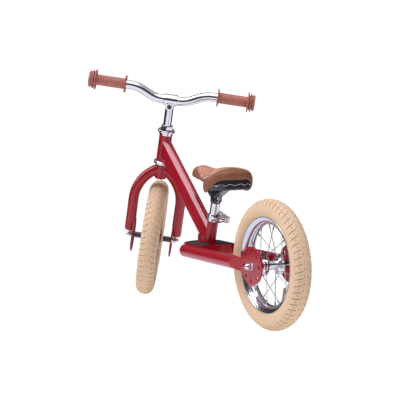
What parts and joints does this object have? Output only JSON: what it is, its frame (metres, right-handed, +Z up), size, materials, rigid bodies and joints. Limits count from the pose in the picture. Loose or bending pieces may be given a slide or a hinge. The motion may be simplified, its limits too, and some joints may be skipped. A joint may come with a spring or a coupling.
{
  "type": "balance bike",
  "caption": "Child's balance bike with a flat-oval frame tube, spoked wheels on bolted axle plates, footrest deck, riser handlebar and padded saddle on a quick-release post.",
  "frame": {"origin": "on the ground, under the middle of the length and width", "axes": "+X towards the front of the bike, +Y to the rider's left, +Z up"},
  "size_m": [0.8933, 0.3772, 0.5839],
  "materials": {
    "red_paint": "gloss",
    "steel": "satin",
    "black_steel": "satin",
    "chrome": "polished",
    "tyre": "matte",
    "tube_rubber": "matte",
    "grip_rubber": "matte",
    "valve_cap": "matte",
    "black_plastic": "gloss",
    "saddle": "satin",
    "grip_tape": "matte"
  },
  "bodies": {
    "frame": {"head_tube": "red_paint", "down_tube": "red_paint", "seat_tube": "red_paint", "frame_boss": "red_paint", "footrest_plate": "red_paint", "grip_tape": "grip_tape", "left_stay": "red_paint", "right_stay": "red_paint", "left_rear_axle_plate": "red_paint", "right_rear_axle_plate": "red_paint", "rear_axle": "steel", "rear_axle_spacers": "black_plastic", "rear_axle_nuts": "chrome", "frame_bolt": "chrome", "upper_headset_cup": "chrome", "lower_headset_cup": "chrome", "seat_collar": "chrome", "qr_skewer": "chrome"},
    "fork": {"steerer": "steel", "fork_crown": "red_paint", "left_fork_leg": "red_paint", "right_fork_leg": "red_paint", "left_front_axle_plate": "red_paint", "right_front_axle_plate": "red_paint", "front_axle": "steel", "front_axle_spacers": "black_plastic", "front_axle_nuts": "chrome", "crown_race": "steel", "lower_bearing": "steel", "upper_bearing": "steel", "adjusting_race": "chrome", "locknut": "chrome"},
    "handlebar": {"stem": "chrome", "stem_clamp_bolt": "steel", "stem_wedge": "steel", "stem_expander_bolt": "steel", "handlebar": "chrome", "left_grip": "grip_rubber", "right_grip": "grip_rubber"},
    "front_wheel": {"front_tyre": "tyre", "front_inner_tube": "tube_rubber", "front_valve_cap": "valve_cap", "front_rim": "chrome", "front_spoke_nipples": "chrome", "front_spokes": "chrome", "front_hub": "chrome", "front_hub_bearings": "steel"},
    "rear_wheel": {"rear_tyre": "tyre", "rear_inner_tube": "tube_rubber", "rear_valve_cap": "valve_cap", "rear_rim": "chrome", "rear_spoke_nipples": "chrome", "rear_spokes": "chrome", "rear_hub": "chrome", "rear_hub_bearings": "steel"},
    "seat": {"seatpost": "chrome", "saddle_base": "black_plastic", "saddle_cover": "saddle", "saddle_clamp_bolt": "black_steel"},
    "qr_lever": {"qr_lever": "chrome"}
  },
  "joints": [
    {"name": "steering", "type": "hinge", "parent": "frame", "child": "fork", "pos_m": [0.24516, 0, 0.34747], "axis": [-0.279, 0, 0.9603], "continuous": true},
    {"name": "front_wheel_spin", "type": "hinge", "parent": "fork", "child": "front_wheel", "pos_m": [0.3136, -0.00623, 0.14866], "axis": [0.4989, 0.8545, 0.1449], "continuous": true},
    {"name": "rear_wheel_spin", "type": "hinge", "parent": "frame", "child": "rear_wheel", "pos_m": [-0.29673, 0, 0.15], "axis": [0, 1, 0], "continuous": true},
    {"name": "handlebar_height", "type": "slide", "parent": "fork", "child": "handlebar", "axis": [-0.279, 0, 0.9603], "range_m": [-0.03, 0.02]},
    {"name": "seat_height", "type": "slide", "parent": "frame", "child": "seat", "axis": [-0.2588, 0, 0.9659], "range_m": [-0.02, 0.025]},
    {"name": "qr_lever_swing", "type": "hinge", "parent": "frame", "child": "qr_lever", "pos_m": [-0.04539, -0.0251, 0.22754], "axis": [-0.2588, 0, 0.9659], "range_deg": [-170, 0]}
  ]
}
